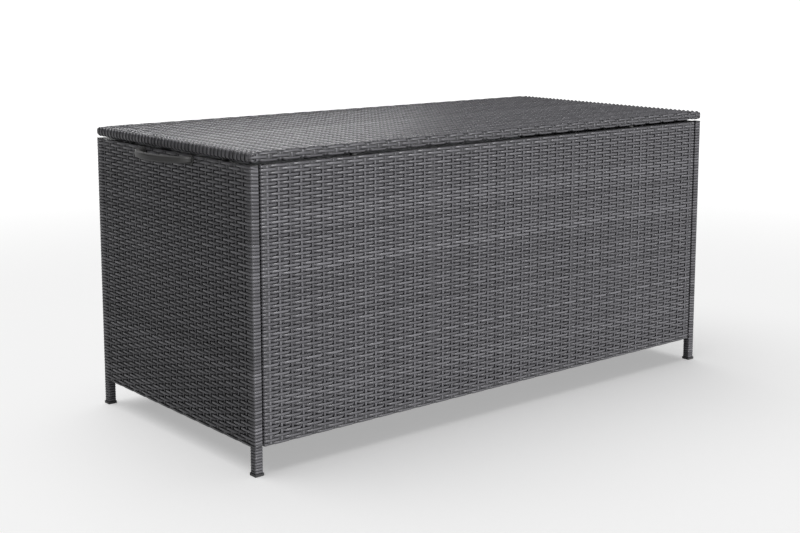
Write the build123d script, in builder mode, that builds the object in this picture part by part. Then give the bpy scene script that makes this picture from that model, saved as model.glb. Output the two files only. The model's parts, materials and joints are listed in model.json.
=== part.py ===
"""A woven deck storage box: five woven panels on square steel tube, a woven lid on three butt hinges with two
gas struts, two side handles and a fabric liner. Millimetres, +Z up, front towards -Y. The origin is on the
ground at the centre of the bounding box."""

import os
from math import atan2, cos, degrees, hypot, radians, sin

from build123d import *

os.makedirs("parts", exist_ok=True)

# Whole box
length = 1220.0
depth = 568.0
height = 581.0
half_length = length / 2

# Tube and strand
tube = 15.0
tube_wall = 1.2
strand = 1.1  # thickness of one flat strand
weave = 2 * strand  # a strand crossing over another
post = tube + 2 * strand  # a leg with its wrapping

# Levels
foot_height = 5.0
panel_bottom = 51.0
body_top = 558.5
lid_bottom = 562.7
rail_top = body_top - strand
lid_tube_bottom = lid_bottom + strand
lid_tube_top = lid_tube_bottom + tube

# Feet and post caps
foot_side = 19.6
plug_side = tube - 2 * tube_wall - 0.2
foot_plug_length = 18.0
cap_plug_length = 10.0

# Hinges, which set how far the box reaches behind its back face
barrel_radius = 3.4
barrel_setback = 0.4
hinge_z = (body_top + lid_bottom) / 2
foot_overhang = (foot_side - post) / 2
rear_reach = barrel_setback + 2 * barrel_radius
y_front = -(depth + rear_reach - foot_overhang) / 2
y_rear = y_front + depth
y_middle = (y_front + y_rear) / 2
hinge_y = y_rear + barrel_setback + barrel_radius
hinge_places = (("left", -420.0), ("centre", 0.0), ("right", 420.0))
leaf_length = 60.0
leaf_reach = 14.0
leaf_thickness = 1.6
knuckle_gap = 0.3
knuckle_relief = 0.5
pin_radius = 1.6
pin_clearance = 0.05
hinge_screw_spacing = 21.0
hinge_screw_radius = 1.8
hinge_screw_head = 3.4
hinge_screw_length = 9.0

# Panels
panel_gap = 3.0
panel_half = half_length - post - panel_gap
frame_half = panel_half - strand
post_outer = half_length - strand
post_inner = post_outer - tube
rail_outer = half_length - weave
rail_inner = rail_outer - tube
front_face = y_front + weave
front_inner = front_face + tube
rear_face = y_rear - weave
rear_inner = rear_face - tube
upright_x = 196.0

# Floor
floor_gap = 0.8
floor_half = rail_inner - floor_gap
floor_front = front_inner + floor_gap
floor_rear = rear_inner - floor_gap
floor_tube_bottom = panel_bottom + strand
floor_tube_top = floor_tube_bottom + tube
floor_bars = (-300.0, 0.0, 300.0)

# Liner
liner_gap = 1.2
liner_wall = 1.5
liner_half = rail_inner - liner_gap
liner_front = front_inner + liner_gap
liner_rear = rear_inner - liner_gap
liner_bottom = floor_tube_top + weave + 0.5
liner_top = rail_top - 2.0
binding = 2.0  # thickness of the tape round the liner's top edge
binding_height = 14.0
liner_corner = 10.5
snap_radius = 6.0
snap_thickness = 1.6
snap_stem_radius = 1.5
snap_z = liner_top - 22.0

# Bolts
bolt_radius = 2.9
bolt_hole_radius = 3.1
bolt_head_radius = 5.0
bolt_head_height = 4.0
panel_bolt_levels = (100.0, 305.0, 500.0)
panel_bolt_length = 30.0
floor_bolt_places = (-450.0, -150.0, 150.0, 450.0)
floor_bolt_length = 28.0

# Handles: a bow of three tangent arcs
handle_z = rail_top - tube / 2
handle_half_span = 88.0
handle_rise = 41.0
handle_end_radius = 24.0
handle_bar_height = 13.0
handle_bar_width = 11.0
handle_bar_round = 3.5
handle_foot_radius = 9.0
handle_foot_thickness = 3.0
handle_bolt_depth = 12.0

# Gas struts. Both pivots are the same distance from the hinge, so the strut turns at half the lid's rate.
strut_arm = 250.0
lid_pivot_drop = 6.0  # degrees below level, seen from the hinge
base_pivot_drop = 78.0
strut_x = 576.0
strut_pin_radius = 4.0
eye_radius = 9.0
eye_bore = strut_pin_radius + 0.06
eye_width = 11.6
eye_neck = 5.6
lid_eye_neck = 14.0  # length of the upper eye's neck
cylinder_radius = 8.0
cylinder_bore = 7.0
cylinder_start = 14.0
cylinder_length = 226.0
gland_length = 12.0
gland_bore = 4.3
rod_radius = 4.0
piston_radius = 6.7
piston_length = 8.0
piston_start = 24.0
bracket_width = 36.0
bracket_plate = 2.0
shoulder_radius = 6.0
clip_radius = 6.0
clip_thickness = 1.4
bracket_screw_radius = 2.0
bracket_screw_head = 4.0
base_screw_shifts = (-22.0, 22.0)
lid_screw_shifts = (-10.0, 10.0)

# Lid
lid_corner = 4.0
lid_edge = 1.6
rim_corner = 5.0  # radius of the rim tube's long edges
lid_bars = (-305.0, 0.0, 305.0)

# Bumpers
bumper_radius = 6.0
bumper_height = 3.9
side_bumper_shifts = (-190.0, 150.0)  # from the middle of the depth
front_bumpers = (-380.0, 380.0)

sides = (("left", -1), ("right", 1))
from_base = (Align.CENTER, Align.CENTER, Align.MIN)
from_top = (Align.CENTER, Align.CENTER, Align.MAX)


def block(x, y, z, mode=Mode.ADD):
    """A box in the part being built, from its two limits along each axis."""
    with Locations(Vector(*[(a + b) / 2 for a, b in (x, y, z)])):
        Box(*[abs(b - a) for a, b in (x, y, z)], mode=mode)


def plate(x, y, z, drill=None):
    """A solid box as a part of its own, with holes cut by drill."""
    with BuildPart() as made:
        block(x, y, z)
        if drill is not None:
            add(drill, mode=Mode.SUBTRACT)
    return made.part


def square_tube(x, y, z, drill=None, corner=0.0):
    """A hollow square tube, open at both ends, along its longest side. Its long edges are rounded by corner."""
    limits = [sorted(pair) for pair in (x, y, z)]
    lengths = [high - low for low, high in limits]
    run = lengths.index(max(lengths))
    inside = [
        (low, high) if axis == run else (low + tube_wall, high - tube_wall)
        for axis, (low, high) in enumerate(limits)
    ]
    along = (Axis.X, Axis.Y, Axis.Z)[run]
    with BuildPart() as made:
        block(*limits)
        if corner > 0:
            fillet(made.edges().filter_by(along), corner)
        with BuildPart(mode=Mode.SUBTRACT) as bore:
            block(*inside)
            if corner > tube_wall:
                fillet(bore.edges().filter_by(along), corner - tube_wall)
        if drill is not None:
            add(drill, mode=Mode.SUBTRACT)
    return made.part


def save(shape, label):
    """Writes one node."""
    shape.label = label
    export_step(shape, f"parts/{label}.step")


def save_group(shapes, label):
    """Writes one node made of several separate solids."""
    save(Compound(children=list(shapes)), label)


def bolt(base, direction, shaft_length, shaft_radius=bolt_radius, head_radius=bolt_head_radius,
         head_height=bolt_head_height):
    """A socket-head bolt. Its head stands on base, and its shaft runs from there along direction."""
    with BuildPart(Plane(origin=base, z_dir=direction)) as made:
        Cylinder(shaft_radius, shaft_length, align=from_base)
        Cylinder(head_radius, head_height, align=from_top)
        with BuildSketch(Plane(origin=base, z_dir=direction).offset(-head_height)):
            RegularPolygon(radius=head_radius * 0.5, side_count=6)
        extrude(amount=head_height * 0.6, mode=Mode.SUBTRACT)
        rim = made.faces().sort_by(Axis(base, direction))[0].outer_wire().edges()
        chamfer(rim, head_height * 0.12)
    return made.part


def drill_holes(places, direction, reach, radius):
    """Cylinders centred on places along direction, for cutting holes."""
    with BuildPart() as made:
        for place in places:
            with BuildSketch(Plane(origin=place, z_dir=direction).offset(-reach)):
                Circle(radius)
            extrude(amount=2 * reach)
    return made.part


# Where the fasteners go -------------------------------------------------------------------------------------

post_middle = {"front": y_front + strand + tube / 2, "back": y_rear - strand - tube / 2}
panel_bolt_y = {"front": y_front + 9.2, "back": y_rear - 9.2}
panel_bolt_points = [
    (sign * frame_half, y, z) for _, sign in sides for y in panel_bolt_y.values() for z in panel_bolt_levels
]
panel_bolt_holes = drill_holes(panel_bolt_points, (1, 0, 0), 19.0, bolt_hole_radius)

floor_bolt_z = floor_tube_bottom + tube / 2
floor_bolt_heads = {"front": floor_front + tube, "back": floor_rear - tube}
floor_bolt_points = [(x, y, floor_bolt_z) for x in floor_bolt_places for y in floor_bolt_heads.values()]
floor_bolt_holes = drill_holes(floor_bolt_points, (0, 1, 0), 24.0, bolt_hole_radius)

handle_bolt_face = rail_outer - tube_wall  # the heads bear on the rail's outer wall, from inside the rail
handle_bolt_points = [
    (sign * handle_bolt_face, y_middle + end * handle_half_span, handle_z)
    for _, sign in sides
    for end in (-1, 1)
]
handle_bolt_length = tube_wall + weave + handle_bolt_depth - 1.0
handle_bolt_holes = drill_holes(handle_bolt_points, (1, 0, 0), 8.0, bolt_hole_radius)
handle_access_points = [(sign * rail_inner, y, z) for _, sign in sides for _, y, z in handle_bolt_points[:2]]
handle_bolt_holes += drill_holes(handle_access_points, (1, 0, 0), 3.0, bolt_head_radius + 0.8)

hinge_screw_y = y_rear - leaf_reach / 2 - 1.0
hinge_screw_points = [
    (x + shift * hinge_screw_spacing, hinge_screw_y, hinge_z) for _, x in hinge_places for shift in (-1, 0, 1)
]
hinge_screw_holes = drill_holes(hinge_screw_points, (0, 0, 1), 12.0, hinge_screw_radius + 0.1)

lid_pivot = (
    hinge_y - strut_arm * cos(radians(lid_pivot_drop)),
    hinge_z - strut_arm * sin(radians(lid_pivot_drop)),
)
base_pivot = (
    hinge_y - strut_arm * cos(radians(base_pivot_drop)),
    hinge_z - strut_arm * sin(radians(base_pivot_drop)),
)
strut_direction = (0, lid_pivot[0] - base_pivot[0], lid_pivot[1] - base_pivot[1])
strut_closed = hypot(strut_direction[1], strut_direction[2])
base_plate_face = liner_half - liner_wall  # the lower bracket's back, on the liner's inner face
base_screw_points = [
    (sign * rail_inner, base_pivot[0], base_pivot[1] + shift)
    for _, sign in sides
    for shift in base_screw_shifts
]
base_screw_holes = drill_holes(base_screw_points, (1, 0, 0), 12.0, bracket_screw_radius + 0.1)
lid_screw_points = [
    (sign * post_inner, lid_pivot[0] + shift, lid_tube_bottom + tube / 2)
    for _, sign in sides
    for shift in lid_screw_shifts
]
lid_screw_holes = drill_holes(lid_screw_points, (1, 0, 0), 8.0, bracket_screw_radius + 0.1)


# Side panels ------------------------------------------------------------------------------------------------

post_y = {
    "front": (y_front + strand, y_front + strand + tube),
    "back": (y_rear - strand - tube, y_rear - strand),
}
between_posts = (y_front + strand + tube, y_rear - strand - tube)
between_wraps = (y_front + post, y_rear - post)
side_drill = panel_bolt_holes + handle_bolt_holes + base_screw_holes

for side, sign in sides:
    rail_x = (sign * rail_inner, sign * rail_outer)
    tubes = [
        square_tube((sign * post_inner, sign * post_outer), y, (foot_height, rail_top), panel_bolt_holes)
        for y in post_y.values()
    ]
    tubes.append(square_tube(rail_x, between_posts, (rail_top - tube, rail_top), side_drill))
    tubes.append(square_tube(rail_x, between_posts, (floor_tube_bottom, floor_tube_top)))
    strut_upright = (base_pivot[0] - tube / 2, base_pivot[0] + tube / 2)
    tubes.append(square_tube(rail_x, strut_upright, (floor_tube_top, rail_top - tube), side_drill))
    save_group(tubes, f"{side}_side_frame")

    inner_x = (sign * rail_inner, sign * rail_outer)
    skins = [
        plate((sign * rail_outer, sign * half_length), between_wraps, (panel_bottom, body_top), side_drill),
        plate(inner_x, between_wraps, (rail_top, body_top)),
        plate(inner_x, between_wraps, (panel_bottom, floor_tube_bottom)),
    ]
    save_group(skins, f"{side}_weave")

    wraps = []
    for low, high in post_y.values():
        with BuildPart() as wrap:
            block(
                (sign * (half_length - post), sign * half_length),
                (low - strand, high + strand),
                (foot_height, rail_top),
            )
            block((sign * post_inner, sign * post_outer), (low, high), (foot_height, rail_top), Mode.SUBTRACT)
            for rail_z in ((rail_top - tube, rail_top), (floor_tube_bottom, floor_tube_top)):
                block(rail_x, between_posts, rail_z, Mode.SUBTRACT)
            add(panel_bolt_holes, mode=Mode.SUBTRACT)
        wraps.append(wrap.part)
    save_group(wraps, f"{side}_post_wraps")


# Front and back panels --------------------------------------------------------------------------------------

panels = {"front": (front_face, front_inner, y_front), "back": (rear_face, rear_inner, y_rear)}
panel_drill = panel_bolt_holes + floor_bolt_holes + hinge_screw_holes

for panel, (face, inner, outside) in panels.items():
    full_height = (floor_tube_bottom, rail_top)
    tubes = [
        square_tube((sign * (frame_half - tube), sign * frame_half), (face, inner), full_height, panel_drill)
        for _, sign in sides
    ]
    between_ends = (-(frame_half - tube), frame_half - tube)
    tubes.append(square_tube(between_ends, (face, inner), (rail_top - tube, rail_top), panel_drill))
    tubes.append(square_tube(between_ends, (face, inner), (floor_tube_bottom, floor_tube_top), panel_drill))
    for _, sign in sides:
        upright = (sign * upright_x - tube / 2, sign * upright_x + tube / 2)
        tubes.append(square_tube(upright, (face, inner), (floor_tube_top, rail_top - tube)))
    save_group(tubes, f"{panel}_frame")

    skins = [plate((-panel_half, panel_half), (outside, face), (panel_bottom, body_top))]
    skins.append(plate((-frame_half, frame_half), (face, inner), (rail_top, body_top), panel_drill))
    skins.append(plate((-frame_half, frame_half), (face, inner), (panel_bottom, floor_tube_bottom)))
    for _, sign in sides:
        end_x = (sign * frame_half, sign * panel_half)
        skins.append(plate(end_x, (face, inner), (panel_bottom, body_top), panel_drill))
    save_group(skins, f"{panel}_weave")


# Floor ------------------------------------------------------------------------------------------------------

floor_z = (floor_tube_bottom, floor_tube_top)
floor_tubes = [
    square_tube((-floor_half, floor_half), (floor_front, floor_front + tube), floor_z, floor_bolt_holes),
    square_tube((-floor_half, floor_half), (floor_rear - tube, floor_rear), floor_z, floor_bolt_holes),
]
floor_bar_x = [-floor_half + tube / 2, *floor_bars, floor_half - tube / 2]
for x in floor_bar_x:
    across = (floor_front + tube, floor_rear - tube)
    floor_tubes.append(square_tube((x - tube / 2, x + tube / 2), across, floor_z))
save_group(floor_tubes, "floor_frame")

floor_weave_z = (floor_tube_top, floor_tube_top + weave)
save(plate((-floor_half, floor_half), (floor_front, floor_rear), floor_weave_z), "floor_weave")


# Feet and post caps -----------------------------------------------------------------------------------------

post_centres = [(sign * (half_length - post / 2), y) for _, sign in sides for y in post_middle.values()]

feet = []
for x, y in post_centres:
    with BuildPart() as foot:
        with BuildSketch():
            with Locations((x, y)):
                RectangleRounded(foot_side, foot_side, 2.0)
        extrude(amount=foot_height)
        chamfer(foot.edges().group_by(Axis.Z)[0], 0.8)
        with BuildSketch(Plane.XY.offset(foot_height)):
            with Locations((x, y)):
                Rectangle(plug_side, plug_side)
        extrude(amount=foot_plug_length, taper=1)
    feet.append(foot.part)
save_group(feet, "foot_caps")

post_caps = []
for x, y in post_centres:
    with BuildPart() as post_cap:
        with BuildSketch(Plane.XY.offset(rail_top)):
            with Locations((x, y)):
                RectangleRounded(post - 0.4, post - 0.4, 1.5)
        extrude(amount=strand)
        with BuildSketch(Plane.XY.offset(rail_top)):
            with Locations((x, y)):
                Rectangle(plug_side, plug_side)
        extrude(amount=-cap_plug_length, taper=1)
    post_caps.append(post_cap.part)
save_group(post_caps, "post_caps")


# Handles ----------------------------------------------------------------------------------------------------

side_span = handle_half_span - handle_end_radius
crown = handle_rise - handle_end_radius
crown_drop = (side_span**2 - crown**2) / (2 * crown)
crown_radius = handle_rise + crown_drop
end_sweep = degrees(atan2(crown_drop, side_span))

for side, sign in sides:
    base_plane = Plane(origin=(sign * half_length, y_middle, handle_z), x_dir=(0, -sign, 0), z_dir=(0, 0, 1))
    with BuildLine(base_plane) as bow:
        CenterArc((side_span, 0), handle_end_radius, 0, end_sweep)
        CenterArc((0, -crown_drop), crown_radius, end_sweep, 180 - 2 * end_sweep)
        CenterArc((-side_span, 0), handle_end_radius, 180 - end_sweep, end_sweep)
    path = bow.wires()[0]
    with BuildPart() as handle:
        with BuildSketch(Plane(origin=path @ 0, x_dir=(0, 1, 0), z_dir=path % 0)):
            RectangleRounded(handle_bar_width, handle_bar_height, handle_bar_round)
        sweep(path=path)
        outward = Plane(origin=base_plane.origin, x_dir=(0, 1, 0), z_dir=(sign, 0, 0))
        for end in (-1, 1):
            with BuildSketch(outward):
                with Locations((end * handle_half_span, 0)):
                    Circle(handle_foot_radius)
            extrude(amount=handle_foot_thickness)
            with BuildSketch(outward):
                with Locations((end * handle_half_span, 0)):
                    Circle(bolt_radius + 0.05)
            extrude(amount=handle_bolt_depth, mode=Mode.SUBTRACT)
        foot_rims = (
            handle.edges()
            .filter_by(GeomType.CIRCLE)
            .filter_by(lambda e: abs(e.radius - handle_foot_radius) < 0.01)
            .sort_by(Axis.X)
        )
        outer_rims = foot_rims[:2] if sign < 0 else foot_rims[-2:]
        chamfer(outer_rims, 1.2)
    save(handle.part, f"{side}_handle")

handle_bolts = [
    bolt(point, (1 if point[0] > 0 else -1, 0, 0), handle_bolt_length) for point in handle_bolt_points
]
save_group(handle_bolts, "handle_bolts")


# Panel and floor bolts --------------------------------------------------------------------------------------

panel_bolts = [
    bolt((sign * (frame_half - tube), y, z), (sign, 0, 0), panel_bolt_length)
    for _, sign in sides
    for y in panel_bolt_y.values()
    for z in panel_bolt_levels
]
save_group(panel_bolts, "panel_bolts")

floor_bolts = [
    bolt((x, y, floor_bolt_z), (0, -1 if end == "front" else 1, 0), floor_bolt_length)
    for x in floor_bolt_places
    for end, y in floor_bolt_heads.items()
]
save_group(floor_bolts, "floor_bolts")


# Liner ------------------------------------------------------------------------------------------------------

snap_x = (-480.0, -240.0, 0.0, 240.0, 480.0)
snap_shifts = (-130.0, 130.0)  # along an end panel, from its middle
liner_inside_front = liner_front + liner_wall
liner_inside_rear = liner_rear - liner_wall

snap_planes = []
for x in snap_x:
    snap_planes.append(Plane(origin=(x, liner_inside_front, snap_z), z_dir=(0, 1, 0)))
    snap_planes.append(Plane(origin=(x, liner_inside_rear, snap_z), z_dir=(0, -1, 0)))
for _, sign in sides:
    for shift in snap_shifts:
        place = (sign * base_plate_face, y_middle + shift, snap_z)
        snap_planes.append(Plane(origin=place, z_dir=(-sign, 0, 0)))

snaps = []
for snap_plane in snap_planes:
    with BuildPart(snap_plane) as snap:
        Cylinder(snap_radius, snap_thickness, align=from_base)
        fillet(snap.edges().group_by(Axis(snap_plane.origin, snap_plane.z_dir))[-1], 0.7)
        Cylinder(snap_stem_radius, liner_wall + liner_gap, align=from_top)
    snaps.append(snap.part)
save_group(snaps, "liner_snaps")

with BuildPart() as liner_holes:
    add(base_screw_holes)
    for snap_plane in snap_planes:
        with Locations(snap_plane):
            Cylinder(snap_stem_radius + 0.05, 4 * liner_wall)
liner_drill = liner_holes.part

# Five sewn panels: the front and back run the whole length, the ends between them, and the bottom inside all
liner_z = (liner_bottom, liner_top)
between_walls = (liner_inside_front, liner_inside_rear)
liner_panels = [
    plate((-liner_half, liner_half), (liner_front, liner_inside_front), liner_z, liner_drill),
    plate((-liner_half, liner_half), (liner_inside_rear, liner_rear), liner_z, liner_drill),
]
for _, sign in sides:
    end_x = (sign * base_plate_face, sign * liner_half)
    liner_panels.append(plate(end_x, between_walls, liner_z, liner_drill))
liner_panels.append(
    plate((-base_plate_face, base_plate_face), between_walls, (liner_bottom, liner_bottom + liner_wall))
)
save_group(liner_panels, "inner_liner")

with BuildPart() as tape:
    with BuildSketch(Plane.XY.offset(liner_top - binding_height)):
        with Locations((0, (liner_front + liner_rear) / 2)):
            inside_length = 2 * base_plate_face
            inside_depth = liner_inside_rear - liner_inside_front
            RectangleRounded(inside_length, inside_depth, liner_corner)
            offset(amount=-binding / 2, mode=Mode.SUBTRACT)
    extrude(amount=binding_height)
save(tape.part, "liner_binding")


# Bumpers ----------------------------------------------------------------------------------------------------

bumper_x = rail_inner + tube / 2
bumper_points = [(sign * bumper_x, y_middle + shift) for _, sign in sides for shift in side_bumper_shifts]
bumper_points += [(x, front_face + tube / 2) for x in front_bumpers]
bumpers = []
for x, y in bumper_points:
    with BuildPart() as bumper:
        with BuildSketch(Plane.XY.offset(body_top)):
            with Locations((x, y)):
                Circle(bumper_radius)
        extrude(amount=bumper_height)
        fillet(bumper.edges().group_by(Axis.Z)[-1], 1.2)
    bumpers.append(bumper.part)
save_group(bumpers, "lid_bumpers")


# Hinges -----------------------------------------------------------------------------------------------------

knuckle = leaf_length / 5
hinge_axis_plane = Plane(origin=(0, hinge_y, hinge_z), x_dir=(0, 1, 0), z_dir=(1, 0, 0))


def knuckle_spans(first):
    """Limits along X of every other knuckle, counted from the leaf's left end."""
    starts = [-leaf_length / 2 + k * knuckle for k in range(first, 5, 2)]
    return [(start, start + knuckle) for start in starts]


def barrel(x, low, high, radius, mode=Mode.ADD):
    """A cylinder on the hinge axis, in the part being built."""
    with Locations(hinge_axis_plane.offset(x + low)):
        Cylinder(radius, high - low, align=from_base, mode=mode)


def hinge_leaf(x, own, other, z, bore, screw_up):
    """One leaf: a plate with its knuckles, cleared for the other leaf's, and three countersunk holes."""
    with BuildPart() as leaf:
        block((x - leaf_length / 2, x + leaf_length / 2), (y_rear - leaf_reach, hinge_y), z)
        corners = leaf.edges().filter_by(Axis.Z).sort_by(Axis.Y)[:2]
        fillet(corners, 3.0)
        for low, high in other:
            barrel(x, low - knuckle_gap, high + knuckle_gap, barrel_radius + knuckle_relief, Mode.SUBTRACT)
        for low, high in own:
            barrel(x, low + knuckle_gap / 2, high - knuckle_gap / 2, barrel_radius)
        barrel(x, -leaf_length, leaf_length, bore, Mode.SUBTRACT)
        screw_face = z[1] if screw_up else z[0]
        normal = (0, 0, 1) if screw_up else (0, 0, -1)
        for shift in (-1, 0, 1):
            centre = (x + shift * hinge_screw_spacing, hinge_screw_y, screw_face)
            with Locations(Plane(origin=centre, z_dir=normal)):
                CounterSinkHole(hinge_screw_radius + 0.1, hinge_screw_head, depth=5.0)
    return leaf.part


def hinge_screw(x, face_z, direction):
    """A countersunk screw whose head is flush with face_z and whose shaft runs along direction."""
    head_plane = Plane(origin=(x, hinge_screw_y, face_z), z_dir=(0, 0, direction))
    head_depth = hinge_screw_head - hinge_screw_radius - 0.15
    with BuildPart(head_plane) as made:
        Cone(hinge_screw_head - 0.15, hinge_screw_radius, head_depth, align=from_base)
        Cylinder(hinge_screw_radius, hinge_screw_length, align=from_base)
        with BuildSketch(head_plane):
            Rectangle(hinge_screw_radius * 1.8, 0.6)
            Rectangle(0.6, hinge_screw_radius * 1.8)
        extrude(amount=0.8, mode=Mode.SUBTRACT)
    return made.part


box_leaf_z = (body_top, body_top + leaf_thickness)
lid_leaf_z = (lid_bottom - leaf_thickness, lid_bottom)
box_screws = []
lid_screws = []
for name, x in hinge_places:
    box_leaf = hinge_leaf(x, knuckle_spans(0), knuckle_spans(1), box_leaf_z, pin_radius + 0.01, True)
    save(box_leaf, f"hinge_box_leaf_{name}")
    lid_leaf = hinge_leaf(
        x, knuckle_spans(1), knuckle_spans(0), lid_leaf_z, pin_radius + pin_clearance, False
    )
    save(lid_leaf, f"hinge_lid_leaf_{name}")
    with BuildPart() as pin:
        barrel(x, -leaf_length / 2 - 1.0, leaf_length / 2 + 1.0, pin_radius)
        for end in (-1, 1):
            with BuildSketch(hinge_axis_plane.offset(x + end * (leaf_length / 2 + 0.2))):
                Circle(pin_radius + 0.9)
            extrude(amount=end * 0.8)
    save(pin.part, f"hinge_pin_{name}")
    for shift in (-1, 0, 1):
        screw_x = x + shift * hinge_screw_spacing
        box_screws.append(hinge_screw(screw_x, box_leaf_z[1], -1))
        lid_screws.append(hinge_screw(screw_x, lid_leaf_z[0], 1))
save_group(box_screws, "hinge_box_screws")
save_group(lid_screws, "hinge_lid_screws")


# Lid --------------------------------------------------------------------------------------------------------

lid_z = (lid_tube_bottom, lid_tube_top)
lid_drill = hinge_screw_holes + lid_screw_holes
lid_depth = (y_front + strand, y_rear - strand)
lid_tubes = [
    square_tube((sign * post_inner, sign * post_outer), lid_depth, lid_z, lid_drill, rim_corner)
    for _, sign in sides
]
between_sides = (-post_inner, post_inner)
for rim_y in ((lid_depth[0], lid_depth[0] + tube), (lid_depth[1] - tube, lid_depth[1])):
    lid_tubes.append(square_tube(between_sides, rim_y, lid_z, lid_drill, rim_corner))
for x in lid_bars:
    across = (lid_depth[0] + tube, lid_depth[1] - tube)
    lid_tubes.append(square_tube((x - tube / 2, x + tube / 2), across, lid_z))
save_group(lid_tubes, "lid_frame")

with BuildPart() as lid_top:
    with BuildSketch(Plane.XY.offset(lid_tube_top)):
        with Locations((0, y_middle)):
            RectangleRounded(length, depth, lid_corner)
    extrude(amount=height - lid_tube_top)
    fillet(lid_top.edges().group_by(Axis.Z)[-1], lid_edge)
lid_skins = [lid_top.part]
skirt_z = (lid_bottom, lid_tube_top)
for _, sign in sides:
    lid_skins.append(plate((sign * post_outer, sign * half_length), lid_depth, skirt_z))
    under = (sign * post_inner, sign * post_outer)
    lid_skins.append(plate(under, lid_depth, (lid_bottom, lid_tube_bottom), lid_drill))
for edge, face in ((y_front, lid_depth[0]), (y_rear, lid_depth[1])):
    lid_skins.append(plate((-half_length + lid_corner, half_length - lid_corner), (edge, face), skirt_z))
    inward = face + tube if edge == y_front else face - tube
    lid_skins.append(plate(between_sides, (face, inward), (lid_bottom, lid_tube_bottom), lid_drill))
save_group(lid_skins, "lid_weave")


# Gas struts -------------------------------------------------------------------------------------------------


def pivot_pin(sign, pivot, face):
    """A shouldered pin along X from a bracket's inner face, grooved for its clip, in the part being built."""
    groove_start = face - (strut_x - eye_width / 2 - 0.3)
    groove_end = groove_start + clip_thickness + 0.1
    for low, high, radius in (
        (0.0, face - strut_x - eye_width / 2 - 0.3, shoulder_radius),
        (0.0, groove_start, strut_pin_radius),
        (groove_start, groove_end, strut_pin_radius - 0.8),
        (groove_end, groove_end + 1.6, strut_pin_radius),
    ):
        with Locations(Plane(origin=(sign * (face - low), *pivot), z_dir=(-sign, 0, 0))):
            Cylinder(radius, high - low, align=from_base)


def retaining_clip(sign, pivot):
    """A spring clip in the groove of a pivot pin."""
    clip_plane = Plane(origin=(sign * (strut_x - eye_width / 2 - 0.35), *pivot), z_dir=(-sign, 0, 0))
    with BuildPart() as clip:
        with BuildSketch(clip_plane):
            Circle(clip_radius)
            Circle(strut_pin_radius - 0.75, mode=Mode.SUBTRACT)
            with Locations((clip_radius, 0)):
                Rectangle(2 * clip_radius, 2.4, mode=Mode.SUBTRACT)
        extrude(amount=clip_thickness)
    return clip.part


def bracket_screw(point, direction, shaft_length):
    """A pan-head screw that stands on point and runs along direction."""
    return bolt(point, direction, shaft_length, bracket_screw_radius, bracket_screw_head, 1.9)


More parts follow.
